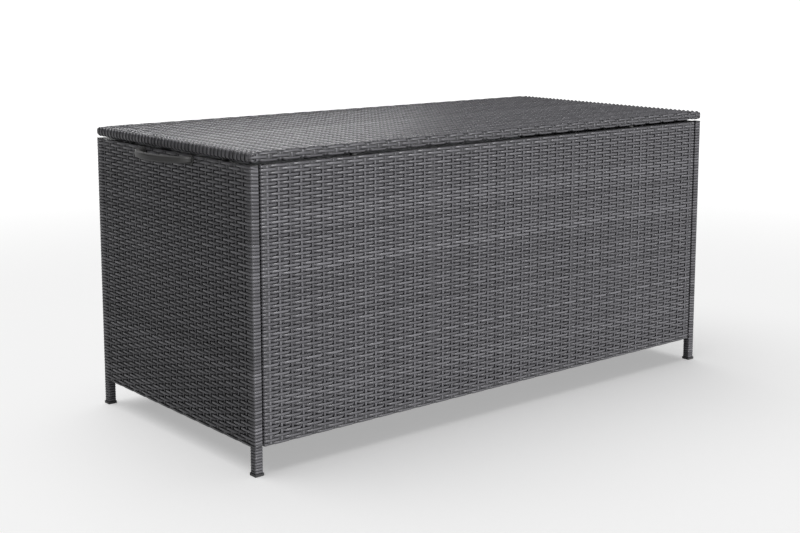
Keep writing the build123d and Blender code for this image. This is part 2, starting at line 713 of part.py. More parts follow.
base_clips = []
lid_clips = []
base_bracket_screws = []
lid_bracket_screws = []
lid_plate_face = 585.5  # the upper bracket's inner face
lid_flange_face = post_inner - 2.5
joggle_bottom = lid_tube_bottom + 0.7
for side, sign in sides:
    base_inner = base_plate_face - bracket_plate
    with BuildPart() as base_bracket:
        with BuildSketch(Plane(origin=(sign * base_inner, *base_pivot), x_dir=(0, 1, 0), z_dir=(sign, 0, 0))):
            RectangleRounded(26.0, 62.0, 5.0)
        extrude(amount=bracket_plate)
        add(base_screw_holes, mode=Mode.SUBTRACT)
        pivot_pin(sign, base_pivot, base_inner)
    save(base_bracket.part, f"{side}_strut_base_bracket")
    base_clips.append(retaining_clip(sign, base_pivot))

    bracket_y = (lid_pivot[0] - bracket_width / 2, lid_pivot[0] + bracket_width / 2)
    with BuildPart() as lid_bracket:
        block(
            (sign * lid_flange_face, sign * post_inner),
            bracket_y,
            (joggle_bottom, lid_tube_top - 0.8),
        )
        block((sign * lid_plate_face, sign * post_inner), bracket_y, (joggle_bottom, joggle_bottom + 2.5))
        block(
            (sign * lid_plate_face, sign * (lid_plate_face + 2.5)),
            bracket_y,
            (lid_pivot[1] - 12.0, joggle_bottom + 2.5),
        )
        low_corners = lid_bracket.edges().filter_by(Axis.X).group_by(Axis.Z)[0]
        fillet(low_corners, 8.0)
        add(lid_screw_holes, mode=Mode.SUBTRACT)
        pivot_pin(sign, lid_pivot, lid_plate_face)
    save(lid_bracket.part, f"{side}_strut_lid_bracket")
    lid_clips.append(retaining_clip(sign, lid_pivot))

    for shift in base_screw_shifts:
        point = (sign * base_inner, base_pivot[0], base_pivot[1] + shift)
        base_bracket_screws.append(bracket_screw(point, (sign, 0, 0), 12.0))
    for shift in lid_screw_shifts:
        point = (sign * lid_flange_face, lid_pivot[0] + shift, lid_tube_bottom + tube / 2)
        lid_bracket_screws.append(bracket_screw(point, (sign, 0, 0), 8.0))

    strut_plane = Plane(origin=(sign * strut_x, *base_pivot), x_dir=(1, 0, 0), z_dir=strut_direction)
    with BuildPart(strut_plane) as base_eye:
        Cylinder(eye_radius, eye_width, rotation=(0, 90, 0))
        Cylinder(eye_neck, cylinder_start, align=from_base)
        Cylinder(eye_bore, 2 * eye_width, rotation=(0, 90, 0), mode=Mode.SUBTRACT)
    save(base_eye.part, f"{side}_strut_base_eye")

    with BuildPart(strut_plane) as cylinder:
        with Locations((0, 0, cylinder_start)):
            Cylinder(cylinder_radius, cylinder_length, align=from_base)
        fillet(cylinder.edges().group_by(Axis(strut_plane.origin, strut_plane.z_dir))[0], 2.0)
        with Locations((0, 0, cylinder_start + 3.0)):
            Cylinder(cylinder_bore, cylinder_length, align=from_base, mode=Mode.SUBTRACT)
    save(cylinder.part, f"{side}_strut_cylinder")

    gland_start = cylinder_start + cylinder_length - gland_length
    with BuildPart(strut_plane) as gland:
        with Locations((0, 0, gland_start)):
            Cylinder(cylinder_bore, gland_length, align=from_base)
        with Locations((0, 0, gland_start + gland_length)):
            Cylinder(cylinder_radius, 2.0, align=from_base)
        with Locations((0, 0, gland_start)):
            Cylinder(gland_bore, gland_length + 4.0, align=from_base, mode=Mode.SUBTRACT)
    save(gland.part, f"{side}_strut_gland")

    with BuildPart(strut_plane) as rod:
        with Locations((0, 0, piston_start)):
            Cylinder(piston_radius, piston_length, align=from_base)
            Cylinder(rod_radius, strut_closed - lid_eye_neck - piston_start, align=from_base)
    save(rod.part, f"{side}_strut_rod")

    with BuildPart(strut_plane) as lid_eye:
        with Locations((0, 0, strut_closed)):
            Cylinder(eye_radius, eye_width, rotation=(0, 90, 0))
            Cylinder(eye_neck, lid_eye_neck, align=from_top)
            Cylinder(eye_bore, 2 * eye_width, rotation=(0, 90, 0), mode=Mode.SUBTRACT)
    save(lid_eye.part, f"{side}_strut_lid_eye")

save_group(base_clips, "strut_base_clips")
save_group(lid_clips, "strut_lid_clips")
save_group(base_bracket_screws, "strut_base_screws")
save_group(lid_bracket_screws, "strut_lid_screws")
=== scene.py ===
"""The look of a woven deck storage box: real strands over its panels, posts and lid, a sewn liner inside, and
materials for every metal, plastic and fabric piece. Metres, +Z up, front towards -Y."""

import json
import math

import bpy
import numpy as np
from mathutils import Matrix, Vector


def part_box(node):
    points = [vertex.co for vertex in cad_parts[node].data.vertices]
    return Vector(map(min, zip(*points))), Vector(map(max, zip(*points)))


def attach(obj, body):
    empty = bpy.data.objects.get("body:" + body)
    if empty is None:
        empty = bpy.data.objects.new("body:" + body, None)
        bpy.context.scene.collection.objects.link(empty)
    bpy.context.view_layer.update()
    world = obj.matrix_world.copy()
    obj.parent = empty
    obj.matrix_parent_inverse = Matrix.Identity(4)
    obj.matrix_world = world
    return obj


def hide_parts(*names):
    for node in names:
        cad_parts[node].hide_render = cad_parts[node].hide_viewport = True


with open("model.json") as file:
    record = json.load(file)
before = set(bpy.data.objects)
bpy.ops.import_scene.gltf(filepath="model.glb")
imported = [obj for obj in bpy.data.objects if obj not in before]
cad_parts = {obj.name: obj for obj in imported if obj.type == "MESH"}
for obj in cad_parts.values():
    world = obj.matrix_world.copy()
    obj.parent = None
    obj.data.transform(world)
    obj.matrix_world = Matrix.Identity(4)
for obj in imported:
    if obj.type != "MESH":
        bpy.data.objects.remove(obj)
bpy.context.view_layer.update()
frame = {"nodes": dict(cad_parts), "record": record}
nodes = frame["nodes"]
rng = np.random.default_rng(7)

MM = 0.001
NEAR = 1e-6  # places closer together than this count as one

# Strands
STRAND_WIDTH = 5.4 * MM
STRAND_THICKNESS = 1.3 * MM
STRAND_SHOULDER = 0.2  # where the flat of the top ends, as a share of the width
STRAND_EDGE = -0.1  # height of the side's upper corner above the strand's middle, as a share of the thickness
STRAND_LEAN = 0.09  # slope that a strand may lie at, from one side to the other
LEAN_SCRAMBLE = 37.0  # makes a lean from a strand's tint that doesn't rise with the tint

# Weave
ROW_PITCH = 6.265 * MM
WARP_PITCH = 24.1 * MM
WARP_WIDTH = 5.4 * MM
WEFT_RISE = 0.85 * MM  # how far out a weft's middle runs over a warp
WEFT_DIP = 2.9 * MM  # how far in it runs under one
UNDER_STEPS = (-8.8 * MM, -6.4 * MM, -4.2 * MM, 0.0, 4.2 * MM, 6.4 * MM, 8.8 * MM)  # a weft's points at a dip
DIP_START = 8.4 * MM  # distance from a warp's middle where a weft starts dipping under it
DIP_END = 4.3 * MM  # and where it is all the way down
END_EASE = 3 * MM  # length over which a weft goes from its end's height to the weave's
PANEL_END_LIFT = (0.85 * MM, 0.85 * MM)  # height of the wefts' ends, for even and odd rows
LID_END_LIFT = (-0.45 * MM, 0.75 * MM)
WARP_SWING = 0.25 * MM
WARP_SINK = 0.7 * MM  # how far in the warps lie
WARP_STEPS = 3  # points of a warp from one row to the next
FLOOR_WARPS = 49

# Panels, lid and legs
SURFACE_DEPTH = 1.45 * MM  # from the CAD's outer face in to the middle of the weave
RIM_DEPTH = 0.35 * MM  # the same on the lid's edges
RETURN = 11.0 * MM  # how far the strands go on behind a panel's edge
CORNER = 3.0 * MM  # radius of the bend round a panel's edge
POST_CORNER = 2.0 * MM  # radius of the bend round a post's outer corner
POST_INNER_CORNER = 1.5 * MM  # and round its inner one
BEND_POINTS = 9  # points round a bend
PANEL_ROW_MARGIN = 0.5 * MM  # from a panel's edge to where its rows start
LID_RADIUS = 6.0 * MM
LID_ROW_MARGIN = 3 * MM  # how far in from the lid's edge, on its under side, the rows start
LID_FLAT_EXTRA = 4 * MM  # how far past the flat of the lid's top the crossings go on
LEG_PITCH = 5.2 * MM
LEG_STRAND_SHARE = 0.93  # width of a leg's strand over its pitch
LEG_OVERLAP = 2 * MM  # how far the leg's turns go on above the panel's lower edge
LEG_CORNER = 2.0 * MM
LEG_CORNER_POINTS = 4
LEG_SLOPE = 0.02  # how much a turn rises from one side of the leg to the other
LEG_WOBBLE = 0.12 * MM

# Liner
LINER_THICKNESS = 0.8 * MM
LINER_INSET = 1.0 * MM  # from the CAD liner's box in to the middle of the cloth
LINER_DROP = 0.5 * MM  # how much less than that the bottom is set in
LINER_POINTS = 240  # points round the bag
LINER_LEVELS = 34  # rings of points up its walls
LINER_RINGS = 22  # rings from the bottom's edge to its middle
LINER_CORNER = 14 * MM
LINER_CORNER_POINTS = 7
LINER_FOLD = 10 * MM  # radius of the bend between walls and bottom
LINER_SLACK = 5.0 * MM  # how far a wall's creases stand in
LINER_RIPPLE = 1.6 * MM  # how far the bottom's creases stand up
TAPE_THICKNESS = 0.6 * MM
TAPE_LIFT = 1.0 * MM  # from the bag's cloth to the tape's, middle to middle

# Camera: from the front left, tilted down by the pitch
IMAGE_WIDTH = 800
SENSOR_WIDTH = 36.0  # mm
FOCAL_PX = 1357.1
CAMERA_SHIFT = -0.10
CAMERA_PITCH = math.radians(8.486)
CAMERA_YAW = math.radians(39.46)
CAMERA_FROM_CORNER = Vector((-1.2679, -1.9436, 0.867))  # from the front left leg's outer corner

# Room
FLOOR_REACH = 400.0
FLOOR_FADE = (1.3, 4.5)  # distances from the origin where the floor's glow starts and stops growing
FLOOR_GLOW = (0.38, 0.65)
WORLD_LIGHT = 0.1  # strength of the background's light
WORLD_SEEN = 1.0  # and of the background as the camera sees it


def add_object(name, data):
    obj = bpy.data.objects.new(name, data)
    bpy.context.scene.collection.objects.link(obj)
    return obj


# Materials --------------------------------------------------------------------------------------------------


class Shader:
    """A node material around one Principled shader."""

    def __init__(self, name, color, roughness, metallic=0.0, **sockets):
        self.material = bpy.data.materials.new(name)
        self.material.use_nodes = True
        self.tree = self.material.node_tree
        self.bsdf = self.tree.nodes["Principled BSDF"]
        self.set("Base Color", (*color, 1.0))
        self.set("Roughness", roughness)
        self.set("Metallic", metallic)
        for socket, value in sockets.items():
            self.set(socket.replace("_", " ").title().replace("Ior", "IOR"), value)

    def set(self, socket, value):
        self.bsdf.inputs[socket].default_value = value

    def node(self, kind, **settings):
        made = self.tree.nodes.new(kind)
        for key, value in settings.items():
            setattr(made, key, value)
        return made

    def link(self, source, target):
        self.tree.links.new(source, target)

    def object_coords(self, scale=(1, 1, 1)):
        coords = self.node("ShaderNodeTexCoord")
        mapping = self.node("ShaderNodeMapping")
        mapping.inputs["Scale"].default_value = scale
        self.link(coords.outputs["Object"], mapping.inputs["Vector"])
        return mapping.outputs["Vector"]

    def noise(self, vector, scale, detail=3.0, roughness=0.5):
        made = self.node("ShaderNodeTexNoise")
        made.inputs["Scale"].default_value = scale
        made.inputs["Detail"].default_value = detail
        made.inputs["Roughness"].default_value = roughness
        self.link(vector, made.inputs["Vector"])
        return made.outputs["Fac"]

    def ramp(self, source, stops):
        made = self.node("ShaderNodeValToRGB")
        elements = made.color_ramp.elements
        while len(elements) < len(stops):
            elements.new(0.5)
        for element, (place, color) in zip(elements, stops):
            element.position = place
            element.color = (*color, 1.0)
        self.link(source, made.inputs["Fac"])
        return made.outputs["Color"]

    def vary_roughness(self, source, low, high):
        """Spreads the roughness over low to high by source."""
        made = self.node("ShaderNodeMapRange")
        made.inputs["To Min"].default_value = low
        made.inputs["To Max"].default_value = high
        self.link(source, made.inputs["Value"])
        self.link(made.outputs["Result"], self.bsdf.inputs["Roughness"])

    def smooth_range(self, source, span, result):
        """Maps source from one span of numbers onto another, easing in and out."""
        made = self.node("ShaderNodeMapRange", interpolation_type="SMOOTHSTEP")
        for socket, value in zip(("From Min", "From Max", "To Min", "To Max"), (*span, *result)):
            made.inputs[socket].default_value = value
        self.link(source, made.inputs["Value"])
        return made.outputs["Result"]

    def math(self, operation, a, b=0.0):
        made = self.node("ShaderNodeMath", operation=operation)
        for value, socket in ((a, made.inputs[0]), (b, made.inputs[1])):
            if isinstance(value, (int, float)):
                socket.default_value = value
            else:
                self.link(value, socket)
        return made.outputs["Value"]

    def bump(self, height, strength, distance):
        made = self.node("ShaderNodeBump")
        made.inputs["Strength"].default_value = strength
        made.inputs["Distance"].default_value = distance
        self.link(height, made.inputs["Height"])
        self.link(made.outputs["Normal"], self.bsdf.inputs["Normal"])


def strand_material():
    """Extruded flat strand: satin, a little brighter on some strands, with fine ridges, and painted shade
    that darkens it towards its edges to stand for the dark gaps between rows.
    """
    shader = Shader("strand", (0.07, 0.07, 0.075), 0.36, specular_ior_level=0.22)
    attribute = shader.node("ShaderNodeAttribute", attribute_name="strand")
    parts = shader.node("ShaderNodeSeparateXYZ")
    shader.link(attribute.outputs["Vector"], parts.inputs["Vector"])
    along, across, tint = parts.outputs["X"], parts.outputs["Y"], parts.outputs["Z"]

    # Ridges are long along the strand, fine across it, and different on each strand
    ridge_place = shader.node("ShaderNodeCombineXYZ")
    for socket, source, scale in (("X", along, 14.0), ("Y", across, 900.0), ("Z", tint, 61.0)):
        shader.link(shader.math("MULTIPLY", source, scale), ridge_place.inputs[socket])
    ridges = shader.noise(ridge_place.outputs["Vector"], scale=1.0, detail=3.0, roughness=0.6)

    shade = shader.math("ADD", shader.math("MULTIPLY", tint, 0.55), shader.math("MULTIPLY", ridges, 0.6))
    dark, mid, light = (0.04, 0.0393, 0.0428), (0.066, 0.0648, 0.0703), (0.106, 0.1045, 0.1125)
    color = shader.ramp(shade, [(0.2, dark), (0.55, mid), (0.9, light)])

    # Painted shade: the colour darkens towards the strand's edges, to a quarter at the very edge, for the
    # shade in the gaps between rows. edge_share goes from 0 in the middle of the strand to 1 at its edges
    edge_share = shader.math("MULTIPLY", shader.math("ABSOLUTE", across), 2 / STRAND_WIDTH)
    painted_edge_shade = shader.node("ShaderNodeVectorMath", operation="SCALE")
    shader.link(color, painted_edge_shade.inputs["Vector"])
    shader.link(shader.smooth_range(edge_share, (0.5, 1.0), (1.0, 0.25)), painted_edge_shade.inputs["Scale"])
    shader.link(painted_edge_shade.outputs["Vector"], shader.bsdf.inputs["Base Color"])
    shader.vary_roughness(ridges, 0.27, 0.42)
    shader.bump(ridges, strength=0.25, distance=0.25 * MM)
    return shader.material


def paint_material(name, color, roughness):
    """Powder coat with a fine orange peel."""
    shader = Shader(name, color, roughness)
    place = shader.object_coords()
    peel = shader.noise(place, scale=900.0, detail=2.0)
    cloud = shader.noise(place, scale=14.0, detail=3.0)
    low = tuple(0.8 * c for c in color)
    high = tuple(1.35 * c for c in color)
    shader.link(shader.ramp(cloud, [(0.3, low), (0.7, high)]), shader.bsdf.inputs["Base Color"])
    shader.vary_roughness(cloud, roughness - 0.06, roughness + 0.08)
    shader.bump(peel, strength=0.2, distance=0.15 * MM)
    return shader.material


def metal_material(name, color, roughness, brushed):
    """Plated or blackened steel, brushed along X. brushed is how fine the brushing is; less is a polish."""
    shader = Shader(name, color, roughness, metallic=1.0)
    grain_place = shader.object_coords((brushed * 0.02, brushed, brushed))
    grain = shader.noise(grain_place, scale=1.0, detail=4.0, roughness=0.6)
    stain = shader.noise(shader.object_coords(), scale=45.0, detail=3.0)
    low = tuple(0.72 * c for c in color)
    shader.link(shader.ramp(stain, [(0.3, low), (0.65, color)]), shader.bsdf.inputs["Base Color"])
    shader.vary_roughness(grain, max(0.05, roughness - 0.1), roughness + 0.12)
    shader.bump(grain, strength=0.12, distance=0.05 * MM)
    return shader.material


def plastic_material(name, color, roughness, grain_scale=1400.0):
    """Moulded plastic with a fine spark-eroded grain and slight wear."""
    shader = Shader(name, color, roughness)
    place = shader.object_coords()
    grain = shader.noise(place, grain_scale, detail=2.0)
    wear = shader.noise(place, scale=60.0, detail=4.0, roughness=0.65)
    high = tuple(min(1.0, 1.6 * c) for c in color)
    shader.link(shader.ramp(wear, [(0.45, color), (0.8, high)]), shader.bsdf.inputs["Base Color"])
    shader.vary_roughness(wear, roughness - 0.05, roughness + 0.12)
    shader.bump(grain, strength=0.25, distance=0.12 * MM)
    return shader.material


def fabric_material(name, color, threads, roughness=0.85):
    """Plain-woven coated fabric, with this many threads to a metre each way."""
    shader = Shader(name, color, roughness, sheen_weight=0.15, sheen_roughness=0.5)
    place = shader.object_coords()
    parts = shader.node("ShaderNodeSeparateXYZ")
    shader.link(place, parts.inputs["Vector"])
    flat = shader.math("ADD", parts.outputs["X"], parts.outputs["Y"])
    turn = 2 * math.pi * threads
    weft = shader.math("SINE", shader.math("MULTIPLY", flat, turn))
    warp = shader.math("SINE", shader.math("MULTIPLY", parts.outputs["Z"], turn))
    crossing = shader.math("MULTIPLY", weft, warp)
    cloud = shader.noise(place, scale=9.0, detail=4.0)
    low = tuple(0.75 * c for c in color)
    high = tuple(min(1.0, 1.3 * c) for c in color)
    shader.link(shader.ramp(cloud, [(0.3, low), (0.7, high)]), shader.bsdf.inputs["Base Color"])
    shader.vary_roughness(cloud, roughness - 0.1, roughness)
    shader.bump(crossing, strength=0.3, distance=0.2 * MM)
    return shader.material


STRAND = strand_material()
FRAME_PAINT = paint_material("frame_paint", (0.022, 0.022, 0.024), 0.48)
STRUT_PAINT = paint_material("strut_paint", (0.014, 0.014, 0.015), 0.28)
ZINC = metal_material("zinc", (0.56, 0.56, 0.58), 0.34, 2400.0)
CHROME = metal_material("chrome", (0.82, 0.82, 0.84), 0.12, 300.0)
BLACK_OXIDE = metal_material("black_oxide", (0.05, 0.05, 0.054), 0.45, 2400.0)
BLACK_PLASTIC = plastic_material("black_plastic", (0.012, 0.012, 0.013), 0.5)
HANDLE_PLASTIC = plastic_material("handle_plastic", (0.010, 0.0098, 0.0095), 0.52)
RUBBER = plastic_material("rubber", (0.015, 0.015, 0.015), 0.75, 700.0)
LINER_FABRIC = fabric_material("liner_fabric", (0.11, 0.112, 0.118), 1100.0)
BINDING = fabric_material("binding_tape", (0.03, 0.03, 0.032), 650.0, 0.8)

SLOT_MATERIALS = {
    "frame_paint": FRAME_PAINT,
    "weave": STRAND,
    "black_plastic": BLACK_PLASTIC,
    "handle_plastic": HANDLE_PLASTIC,
    "liner_fabric": LINER_FABRIC,
    "binding_tape": BINDING,
    "rubber": RUBBER,
    "steel": ZINC,
    "strut_paint": STRUT_PAINT,
    "rod_chrome": CHROME,
}


# The bolts that show in the joints between the legs and the panels are blackened
NODE_MATERIALS = {"panel_bolts": BLACK_OXIDE}


def dress_cad():
    """Gives every CAD node the material of its slot, or its own."""
    slots = {part["node"]: part["material_slot"] for part in frame["record"]["subparts"]}
    for name, obj in nodes.items():
        material = NODE_MATERIALS.get(name, SLOT_MATERIALS[slots[name]])
        if not obj.data.materials:
            obj.data.materials.append(material)
        for index in range(len(obj.data.materials)):
            obj.data.materials[index] = material


# Strand geometry --------------------------------------------------------------------------------------------


class Profile:
    """A line of straight runs with rounded corners in a plane, measured by arc length from its start. The
    outward normal is on its left, so the corners run clockwise round the solid."""

    def __init__(self, corners, radii):
        points = [np.array(c, float) for c in corners]
        line = [points[0]]
        for before, corner, after, radius in zip(points, points[1:], points[2:], radii):
            back = (before - corner) / np.linalg.norm(before - corner)
            on = (after - corner) / np.linalg.norm(after - corner)
            start, end = corner + back * radius, corner + on * radius
            centre = start + end - corner
            for angle in np.linspace(0, math.pi / 2, BEND_POINTS):
                line.append(centre + (start - centre) * math.cos(angle) + (end - centre) * math.sin(angle))
        line.append(points[-1])
        self.line = np.array(line)
        steps = np.linalg.norm(np.diff(self.line, axis=0), axis=1)
        self.reach = np.concatenate([[0.0], np.cumsum(steps)])
        self.length = self.reach[-1]
        tangents = np.gradient(self.line, self.reach, axis=0)
        tangents[0] = self.line[1] - self.line[0]
        tangents[-1] = self.line[-1] - self.line[-2]
        self.tangents = tangents / np.linalg.norm(tangents, axis=1, keepdims=True)

    def at(self, distance):
        """Points, tangents and normals at these distances along the line."""
        point = np.stack([np.interp(distance, self.reach, self.line[:, k]) for k in (0, 1)], -1)
        tangent = np.stack([np.interp(distance, self.reach, self.tangents[:, k]) for k in (0, 1)], -1)
        tangent /= np.linalg.norm(tangent, axis=-1, keepdims=True)
        normal = np.stack([-tangent[..., 1], tangent[..., 0]], -1)
        return point, tangent, normal


def strand_mesh(name, middle, width_way, out_way, width, thickness, along, tint, closed=False):
    """A mesh of flat strands, a little crowned. middle, width_way and out_way are strands by points by XYZ;
    along is strands by points, and tint one number for each strand, which also sets how far it leans."""
    strands, points = middle.shape[:2]
    half, shoulder = width / 2, width * STRAND_SHOULDER
    section = np.array(
        [
            (-half, -thickness / 2),
            (half, -thickness / 2),
            (half, thickness * STRAND_EDGE),
            (shoulder, thickness / 2),
            (-shoulder, thickness / 2),
            (-half, thickness * STRAND_EDGE),
        ]
    )
    lean = (tint * LEAN_SCRAMBLE % 1.0 - 0.5) * STRAND_LEAN
    width_way = width_way + out_way * lean[:, None, None]
    count = len(section)
    corners = (
        middle[:, :, None, :]
        + width_way[:, :, None, :] * section[None, None, :, 0, None]
        + out_way[:, :, None, :] * section[None, None, :, 1, None]
    )
    index = np.arange(strands * points * count).reshape(strands, points, count)
    if closed:
        here, there = index, np.roll(index, -1, axis=1)
    else:
        here, there = index[:, :-1], index[:, 1:]
    side = np.roll(here, -1, axis=2)
    far_side = np.roll(there, -1, axis=2)
    quads = np.stack([here, side, far_side, there], -1).reshape(-1, 4)
    if not closed:
        # Each end is closed by two quads over the section's six corners
        for half_end in ([0, 1, 2, 5], [5, 2, 3, 4]):
            quads = np.concatenate([quads, index[:, 0, half_end[::-1]], index[:, -1, half_end]])
    verts = corners.reshape(-1, 3)
    a, b, c, d = (verts[quads[:, k]] for k in range(4))
    volume = np.einsum("ij,ij->", a, np.cross(b, c) + np.cross(c, d))
    if volume < 0:  # the faces look inwards
        quads = quads[:, ::-1]
    mesh = bpy.data.meshes.new(name)
    mesh.vertices.add(len(verts))
    mesh.vertices.foreach_set("co", verts.astype(np.float32).ravel())
    mesh.loops.add(quads.size)
    mesh.loops.foreach_set("vertex_index", quads.astype(np.int32).ravel())
    mesh.polygons.add(len(quads))
    mesh.polygons.foreach_set("loop_start", np.arange(0, quads.size, 4, dtype=np.int32))
    mesh.polygons.foreach_set("use_smooth", np.ones(len(quads), dtype=bool))
    mesh.update(calc_edges=True)
    facts = np.zeros((strands, points, count, 3), np.float32)
    facts[..., 0] = along[:, :, None]
    facts[..., 1] = section[None, None, :, 0]
    facts[..., 2] = tint[:, None, None]
    attribute = mesh.attributes.new("strand", "FLOAT_VECTOR", "POINT")
    attribute.data.foreach_set("vector", facts.ravel())
    mesh.materials.append(STRAND)
    obj = add_object(name, mesh)
    return obj


class Surface:
    """A woven surface: the wefts follow one profile along U, the warps another along V, and both bend away
    from the outward direction at their ends."""

    def __init__(self, origin, u_way, v_way, out_way, wefts, warps):
        self.origin, self.u_way, self.v_way, self.out_way = (
            np.array(v, float) for v in (origin, u_way, v_way, out_way)
        )
        self.wefts, self.warps = wefts, warps

    def at(self, s, t, offset, wefts=None):
        """Points, weft and warp directions and normals at s along the wefts and t along the warps."""
        p, weft_tangent, weft_normal = (wefts or self.wefts).at(s)
        q, warp_tangent, warp_normal = self.warps.at(t)
        out = self.v_way * warp_normal[..., :1] + self.out_way * warp_normal[..., 1:]
        warp_way = self.v_way * warp_tangent[..., :1] + self.out_way * warp_tangent[..., 1:]
        base = self.origin + self.v_way * q[..., :1] + self.out_way * q[..., 1:]
        base = base + self.u_way * p[..., :1] + out * p[..., 1:]
        normal = self.u_way * weft_normal[..., :1] + out * weft_normal[..., 1:]
        weft_way = self.u_way * weft_tangent[..., :1] + out * weft_tangent[..., 1:]
        return base + normal * offset[..., None], weft_way, warp_way, normal


def tints(count):
    """A brightness from 0 to 1 for each strand, mostly near the middle."""
    return rng.beta(2.5, 2.5, count)


def smooth_step(share):
    share = np.clip(share, 0, 1)
    return share * share * (3 - 2 * share)


def weft_set(name, surface, rows, rows_t, profile, shift, flat_u, crossings, end_lift):
    """Wefts that all cross the warps in the same order, since their row numbers are all even or all odd.
    shift is how much further along profile a place lies than along the surface's own wefts."""
    start, end = flat_u
    odd = rows[0] % 2
    dips = crossings[odd::2]
    steps = (dips[:, None] + np.array(UNDER_STEPS)[None, :]).ravel()
    steps = np.concatenate([[start], steps[(steps > start + MM) & (steps < end - MM)], [end]])
    head = profile.reach[profile.reach < start + shift - NEAR][::2]
    tail = profile.reach[profile.reach > end + shift + NEAR][::-2][::-1]
    s = np.concatenate([head, steps + shift, tail])
    flat_s = s - shift
    away = np.abs(flat_s[:, None] - dips[None, :]).min(axis=1)
    over = smooth_step((away - DIP_END) / (DIP_START - DIP_END))
    offset = WEFT_RISE * over - WEFT_DIP * (1 - over)
    inside = np.clip((flat_s - start) / END_EASE, 0, 1) * np.clip((end - flat_s) / END_EASE, 0, 1)
    offset = offset * inside + end_lift[odd] * (1 - inside)
    t = np.repeat(np.array(rows_t)[rows][:, None], len(s), axis=1)
    s_all = np.repeat(s[None, :], len(rows), axis=0)
    offset_all = np.repeat(offset[None, :], len(rows), axis=0)
    middle, _, across_way, normal = surface.at(s_all, t, offset_all, profile)
    return strand_mesh(
        name, middle, across_way, normal, STRAND_WIDTH, STRAND_THICKNESS, s_all, tints(len(rows))
    )


def warp_set(name, surface, rows_t, crossings):
    """Warps that swing a little out and in from row to row, each against its neighbours."""
    first, last = rows_t[0], rows_t[-1]
    rise = (last - first) / (len(rows_t) - 1)
    head = surface.warps.reach[surface.warps.reach < first - NEAR]
    tail = surface.warps.reach[surface.warps.reach > last + NEAR]
    woven = np.linspace(first, last, (len(rows_t) - 1) * WARP_STEPS + 1)
    t = np.concatenate([head[::2], woven, tail[::2], [surface.warps.length]])
    t = np.unique(np.round(t, 7))  # drops points that lie on each other
    inside = np.clip((t - first) / rise + 1, 0, 1) * np.clip((last - t) / rise + 1, 0, 1)
    sign = np.where(np.arange(len(crossings)) % 2 == 0, 1.0, -1.0)[:, None]
    wave = np.cos(math.pi * (t - first) / rise)[None, :] * sign * inside[None, :]
    s_all = np.repeat(crossings[:, None], len(t), axis=1)
    t_all = np.repeat(t[None, :], len(crossings), axis=0)
    middle, across_way, _, normal = surface.at(s_all, t_all, WARP_SWING * wave - WARP_SINK)
    return strand_mesh(
        name, middle, across_way, normal, WARP_WIDTH, STRAND_THICKNESS, t_all, tints(len(crossings))
    )


def weave(
    name, body, surface, replaced, flat_u, rows_t, warp_count,
    plain_wefts=None, plain_rows=(), end_lift=PANEL_END_LIFT,
):
    """Makes the wefts and warps of one surface. flat_u is the stretch of the wefts that warps cross. A row
    whose number is in plain_rows follows plain_wefts instead."""
    start, end = flat_u
    pitch = (end - start) / warp_count
    crossings = start + pitch * (np.arange(warp_count) + 0.5)
    pieces = []
    for parity, tag in ((0, "even"), (1, "odd")):
        every = range(parity, len(rows_t), 2)
        rows = [r for r in every if r not in plain_rows]
        edge_rows = [r for r in every if r in plain_rows]
        pieces.append(
            weft_set(
                f"{name}_wefts_{tag}", surface, rows, rows_t, surface.wefts, 0.0, flat_u, crossings, end_lift
            )
        )
        if edge_rows:
            shift = (plain_wefts.length - surface.wefts.length) / 2
            pieces.append(
                weft_set(
                    f"{name}_wefts_edge_{tag}", surface, edge_rows, rows_t, plain_wefts, shift, flat_u,
                    crossings, end_lift,
                )
            )
    pieces.append(warp_set(f"{name}_warps", surface, rows_t, crossings))
    for piece in pieces:
        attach(piece, body)
        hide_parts(*replaced)


def row_places(low, high, pitch):
    """Middles of whole rows of about this pitch that fill low to high."""
    count = round((high - low) / pitch)
    step = (high - low) / count
    return low + step * (np.arange(count) + 0.5)


def span(node):
    """The lowest and highest corners of a CAD node, as arrays."""
    low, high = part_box(node)
    return np.array(low), np.array(high)


def corner_loss(radius):
    """How much shorter a line is for a right-angled corner rounded to this radius."""
    return (2 - math.pi / 2) * radius


def upright_warps(bottom, top):
    """Warps of an upright panel: in under it, up its face and in over its top."""
    low, high = bottom + SURFACE_DEPTH, top - SURFACE_DEPTH
    return Profile([(low, -RETURN), (low, 0), (high, 0), (high, -RETURN)], (CORNER, CORNER))


def panel_rows(bottom, top):
    """Rows on a panel's face, counted along its warps."""
    z = row_places(bottom + PANEL_ROW_MARGIN, top - PANEL_ROW_MARGIN, ROW_PITCH)
    face_start = RETURN - (bottom + SURFACE_DEPTH)
    return z + face_start - corner_loss(CORNER)


def front_and_back():
    """The front and back panels, which stand between the posts."""
    for name, facing in (("front", -1), ("back", 1)):
        low, high = span(f"{name}_weave")
        face = low[1] if facing < 0 else high[1]
        half = high[0] - SURFACE_DEPTH
        wefts = Profile([(-half, -RETURN), (-half, 0), (half, 0), (half, -RETURN)], (CORNER, CORNER))
        warps = upright_warps(low[2], high[2])
        origin = (0, face - facing * SURFACE_DEPTH, 0)
        surface = Surface(origin, (-facing, 0, 0), (0, 0, 1), (0, facing, 0), wefts, warps)
        start = RETURN - corner_loss(CORNER) + SURFACE_DEPTH
        flat = (start, wefts.length - start)
        count = round((flat[1] - flat[0]) / WARP_PITCH)
        weave(f"{name}_panel", "box", surface, [f"{name}_weave"], flat, panel_rows(low[2], high[2]), count)


